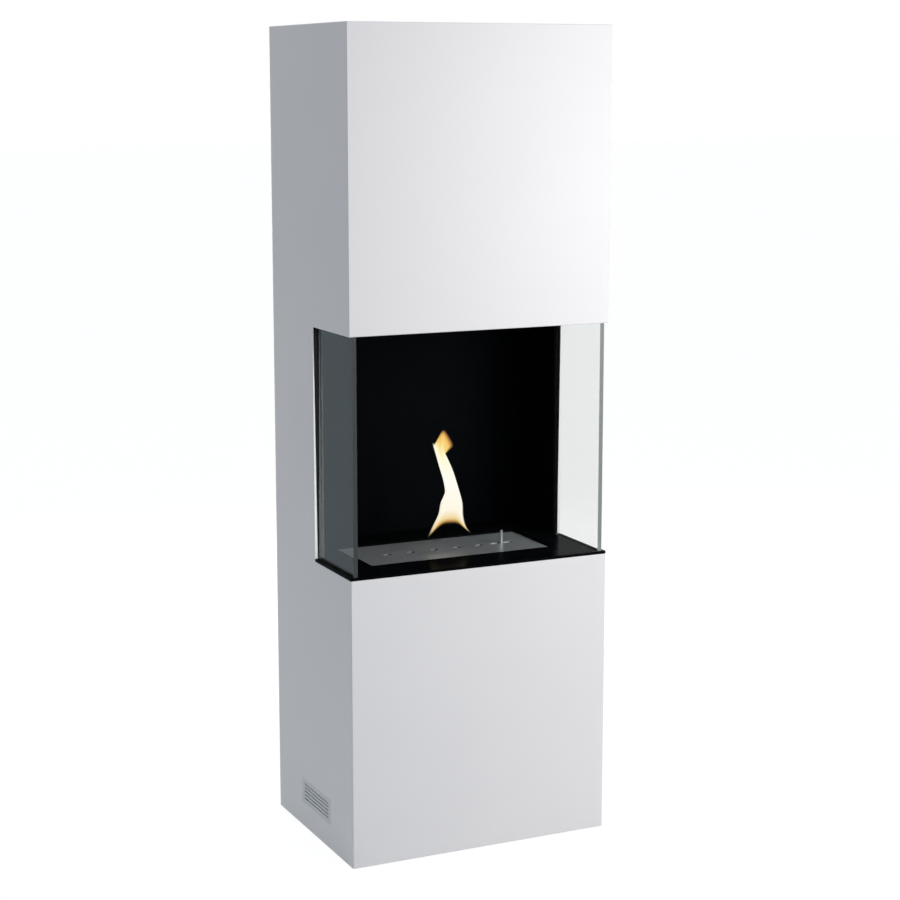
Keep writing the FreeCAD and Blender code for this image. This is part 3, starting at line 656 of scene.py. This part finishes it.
def burning_gas(name):
    """Glow by heat = v * side(u) + tail_rim(m) * tail_foot(v), where m = u * (1 - u).

    How solid the sheet looks is rim(m) * foot(v) * crest(v) * tip(heat).
    """
    material, tree = new_material(name)
    flow = add_node(tree, "ShaderNodeUVMap", uv_map="flow")
    axes = add_node(tree, "ShaderNodeSeparateXYZ", {"Vector": flow.outputs["UV"]})
    across, along = axes.outputs["X"], axes.outputs["Y"]
    rest = add_node(tree, "ShaderNodeMath", {0: 1.0, 1: across}, operation="SUBTRACT")
    middle = add_node(tree, "ShaderNodeMath", {0: across, 1: rest.outputs[0]}, operation="MULTIPLY")
    tails = add_node(tree, "ShaderNodeMath", operation="MULTIPLY")
    heat = add_node(tree, "ShaderNodeMath", {0: along, 2: tails.outputs[0]}, operation="MULTIPLY_ADD")
    follows = {"across": across, "along": along, "middle": middle.outputs[0], "heat": heat.outputs[0]}
    steps = {}
    for step, (followed, *limits) in FLAME_STEPS.items():
        sockets = dict(zip(MAP_RANGE, (follows[followed], *limits)))
        ease = add_node(tree, "ShaderNodeMapRange", sockets, interpolation_type="SMOOTHSTEP")
        steps[step] = ease.outputs["Result"]
    tree.links.new(steps["tail_rim"], tails.inputs[0])
    tree.links.new(steps["tail_foot"], tails.inputs[1])
    tree.links.new(steps["side"], heat.inputs[1])
    solid = steps["rim"]
    for fade in ("foot", "crest", "tip"):
        product = {0: solid, 1: steps[fade]}
        solid = add_node(tree, "ShaderNodeMath", product, operation="MULTIPLY").outputs[0]
    shades = [(place, linear(code)) for place, code in FLAME_SHADES]
    glow = add_node(tree, "ShaderNodeValToRGB", {"Fac": heat.outputs[0]}, ramp=shades)
    shader = add_node(
        tree,
        "ShaderNodeBsdfPrincipled",
        {
            "Base Color": linear("#000000"),
            "Roughness": 1.0,
            "Specular IOR Level": 0.0,
            "Emission Color": glow.outputs["Color"],
            "Emission Strength": 1.0,
            "Alpha": solid,
        },
    )
    add_node(tree, "ShaderNodeOutputMaterial", {"Surface": shader.outputs["BSDF"]})
    return material


flame_gas = burning_gas("burning_ethanol_vapour")
print("made", flame_gas.name)

# %% [markdown]
# The flame rides on the burner. The shutter below the slots puts the real flame out, but this flame
# keeps its shape whichever way the shutter slides.

# %% Flame mesh
FLAME_ACROSS, FLAME_ALONG = 49, 97
FLAME_THICK, FLAME_TAPER = 8.0, 0.35
FLAME_SWAY, FLAME_WAVES = 5.0, 1.3


def flame():
    """The bordered sheet, swollen to a lens and bent gently forwards and back.

    Round the lens runs an angle a from 0 to a full turn: u = (1 - cos a) / 2 across the sheet, and the
    depth is y = slot line + lean(v) + thick(v) sin a. thick(v) is FLAME_THICK mm times the root of
    sin(pi v), which is 0 at the foot and the tip, times 1 - FLAME_TAPER v. lean(v) is FLAME_SWAY mm times
    v sin(2 pi FLAME_WAVES v).
    """
    sheet = bordered_sheet(
        lower=smooth_line(ARCH, FLAME_ACROSS),
        upper=smooth_line(CREST, FLAME_ACROSS),
        left=smooth_line(LEFT, FLAME_ALONG),
        right=smooth_line(RIGHT, FLAME_ALONG),
    )
    around = 2 * (FLAME_ACROSS - 1)
    a = np.arange(around) * 2 * np.pi / around
    u = (1 - np.cos(a)) / 2
    v = np.linspace(0, 1, FLAME_ALONG)
    place = u * (FLAME_ACROSS - 1)
    low = np.minimum(place.astype(int), FLAME_ACROSS - 2)
    share = (place - low)[None, :, None]
    xz = sheet[:, low] * (1 - share) + sheet[:, low + 1] * share
    thick = FLAME_THICK * np.sqrt(np.clip(np.sin(np.pi * v), 0, 1)) * (1 - FLAME_TAPER * v)
    lean = FLAME_SWAY * np.sin(FLAME_WAVES * 2 * np.pi * v) * v
    y = lean[:, None] + thick[:, None] * np.sin(a)[None, :]
    points = np.stack([xz[..., 0] * MM, slot_line + y * MM, plate_top + xz[..., 1] * MM], -1)
    uv = np.stack(np.broadcast_arrays(u[None, :], v[:, None]), -1)
    faces = ring_faces(FLAME_ALONG, around)
    return mesh_piece("flame", points.reshape(-1, 3), faces, flame_gas, uv.reshape(-1, 2))


burning = flame()
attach(burning, "burner")
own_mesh(burning)
print("flame of", len(burning.data.polygons), "faces")

# %% [markdown]
# ## Floor, background and light
#
# The picture is a cut-out on white: a pale floor that keeps only a trace of shadow, a white background
# and one large soft lamp from the front right, which leaves the left side grey. A second lamp stands
# behind the column, a little to the right so that it leaves that side alone, and a third hangs above it
# with a narrow beam. They keep the back and the top white in other views. The world looks white to the
# camera, in reflections and through glass, and lights the object at less than half of that.

# %% World
WHITE = linear("#ffffff")


def in_sight(tree):
    """Socket that is 1 for what the camera sees, straight, mirrored or through glass, and else 0."""
    ray = add_node(tree, "ShaderNodeLightPath").outputs
    seen = ray["Is Camera Ray"]
    for kind in ("Is Glossy Ray", "Is Transmission Ray"):
        either = {0: seen, 1: ray[kind]}
        seen = add_node(tree, "ShaderNodeMath", either, operation="ADD", use_clamp=True).outputs[0]
    return seen


def white_world(name, sky_code, sky_strength):
    """World that lights the object with a dim, slightly blue sky and looks plain white."""
    world = bpy.data.worlds.new(name)
    world.use_nodes = True
    tree = world.node_tree
    tree.nodes.clear()
    sky = add_node(tree, "ShaderNodeBackground", {"Color": linear(sky_code), "Strength": sky_strength})
    plain = add_node(tree, "ShaderNodeBackground", {"Color": WHITE, "Strength": 1.0})
    mix = add_node(
        tree,
        "ShaderNodeMixShader",
        {0: in_sight(tree), 1: sky.outputs["Background"], 2: plain.outputs["Background"]},
    )
    add_node(tree, "ShaderNodeOutputWorld", {"Surface": mix.outputs["Shader"]})
    return world


bpy.context.scene.world = white_world("studio", sky_code="#e4edf9", sky_strength=0.435)
print("world set")

# %% Floor
FLOOR_HALF = 40.0


def floor_paint(name, matt_code, plain, shaded):
    """White floor. In sight it is plain white plus a share of real shading, which keeps the shadow."""
    material, tree = new_material(name)
    matt = add_node(tree, "ShaderNodeBsdfDiffuse", {"Color": linear(matt_code)})
    white = add_node(tree, "ShaderNodeEmission", {"Color": WHITE, "Strength": plain})
    shade = add_node(tree, "ShaderNodeBsdfDiffuse", {"Color": linear("#ffffff", shaded)})
    sight = add_node(tree, "ShaderNodeAddShader", {0: white.outputs["Emission"], 1: shade.outputs["BSDF"]})
    mix = add_node(
        tree,
        "ShaderNodeMixShader",
        {0: in_sight(tree), 1: matt.outputs["BSDF"], 2: sight.outputs["Shader"]},
    )
    add_node(tree, "ShaderNodeOutputMaterial", {"Surface": mix.outputs["Shader"]})
    return material


corners = np.array([[-1, -1, 0], [1, -1, 0], [1, 1, 0], [-1, 1, 0]], float) * FLOOR_HALF
white_floor = floor_paint("white_studio_floor", matt_code="#d2d2d2", plain=0.93, shaded=0.17)
floor = mesh_piece("floor", corners, np.array([[0, 1, 2, 3]]), white_floor)
print("floor", 2 * FLOOR_HALF, "m square")


# %% Lamps
def soft_lamp(name, place, aim, size, power, tint, beam=180):
    """Square area lamp at place, facing aim, with its light inside a beam of so many degrees."""
    data = bpy.data.lights.new(name, "AREA")
    data.shape = "SQUARE"
    data.size = size
    data.energy = power
    data.color = tint
    data.spread = math.radians(beam)
    lamp = bpy.data.objects.new(name, data)
    bpy.context.scene.collection.objects.link(lamp)
    away = np.array(place, float) - np.array(aim, float)
    away /= np.linalg.norm(away)
    turn = math.atan2(away[0], -away[1])
    lamp.location = place
    lamp.rotation_euler = (math.acos(away[2]), 0, turn)


soft_lamp(
    "key",
    place=(1.3, -1.7, 1.2),
    aim=(0.0, -0.1, 0.85),
    size=1.2,
    power=28.3,
    tint=(1.0, 0.952, 0.935),
)
soft_lamp(
    "back_fill",
    place=(0.5, 2.7, 1.3),
    aim=(0.0, 0.18, 0.85),
    size=1.2,
    power=26,
    tint=(1.0, 0.97, 0.96),
)
soft_lamp(
    "top_fill",
    place=(0.0, 0.0, 3.2),
    aim=(0.0, 0.001, 1.46),
    size=0.6,
    power=0.6,
    tint=(1.0, 0.97, 0.96),
    beam=40,
)
print("lamps set")

# %% [markdown]
# The left pane needs something dark to mirror, or it shows the white room and hides the firebox. In a
# studio a grey card, called a flag, stands beside the object for that. Here it stands behind and to the
# left, and its foot runs on along the floor, for views from higher up. Only sharp mirror images in the
# glass show it: for the camera, for softer reflections and for a straight look through the glass it is
# clear.

# %% Flag
FLAG_LIFT = 2 * MM
HALF_BOUNCE = 0.5


def grey_card(name, code):
    """Card that glows in sharp mirror images, after at least one bounce, and is clear otherwise."""
    material, tree = new_material(name)
    ray = add_node(tree, "ShaderNodeLightPath").outputs
    mirrored = add_node(
        tree, "ShaderNodeMath", {0: ray["Glossy Depth"], 1: HALF_BOUNCE}, operation="GREATER_THAN"
    )
    sharp = add_node(
        tree, "ShaderNodeMath", {0: mirrored.outputs[0], 1: ray["Is Singular Ray"]}, operation="MULTIPLY"
    )
    clear = add_node(tree, "ShaderNodeBsdfTransparent")
    glow = add_node(tree, "ShaderNodeEmission", {"Color": linear(code), "Strength": 1.0})
    mix = add_node(
        tree,
        "ShaderNodeMixShader",
        {0: sharp.outputs[0], 1: clear.outputs["BSDF"], 2: glow.outputs["Emission"]},
    )
    add_node(tree, "ShaderNodeOutputMaterial", {"Surface": mix.outputs["Shader"]})
    return material


def grey_flag(name, middle, facing, half_width, height, reach, material):
    """Bent card: upright at middle, -/+ half_width square to facing, and its foot reach along facing."""
    along = np.array([facing[1], -facing[0], 0.0]) * half_width
    fold = np.array([*middle, FLAG_LIFT])
    up = np.array([0.0, 0.0, height])
    toe = np.array([*facing, 0.0]) * reach
    rows = np.array([fold + up, fold, fold + toe])
    points = np.stack([rows - along, rows + along], 1).reshape(-1, 3)
    card = mesh_piece(name, points, np.array([[0, 1, 3, 2], [2, 3, 5, 4]]), material)
    card.visible_camera = False
    card.visible_diffuse = False
    card.visible_shadow = False


grey_flag(
    "flag",
    middle=(-0.58, 0.73),
    facing=(0.376, -0.926),
    half_width=0.55,
    height=1.7,
    reach=1.1,
    material=grey_card("grey_card", "#8a959b"),
)
print("flag set")

# %% [markdown]
# ## Camera
#
# The picture was taken from the front left, a little below the top of the column, with a long lens. Its
# upright edges are parallel, as from a level camera with a large lens shift. Such a shift would push the
# object out of every other view, so this camera stands at the same place and looks slightly down instead,
# and the small difference is shared out over the whole outline.

# %% Camera
CAMERA_PLACE = (-1.55015, -3.32156, 1.35978)
CAMERA_TURN = 25.342
CAMERA_DIP = 9.819
camera_data = bpy.data.cameras.new("camera")
camera_data.sensor_width = 36.0
camera_data.lens = 81.647
camera_data.shift_y = -0.015
camera = bpy.data.objects.new("camera", camera_data)
bpy.context.scene.collection.objects.link(camera)
camera.location = CAMERA_PLACE
camera.rotation_euler = (math.radians(90 - CAMERA_DIP), 0, math.radians(-CAMERA_TURN))
bpy.context.scene.camera = camera
bpy.context.scene.view_settings.view_transform = "Standard"
print("camera at", CAMERA_PLACE)
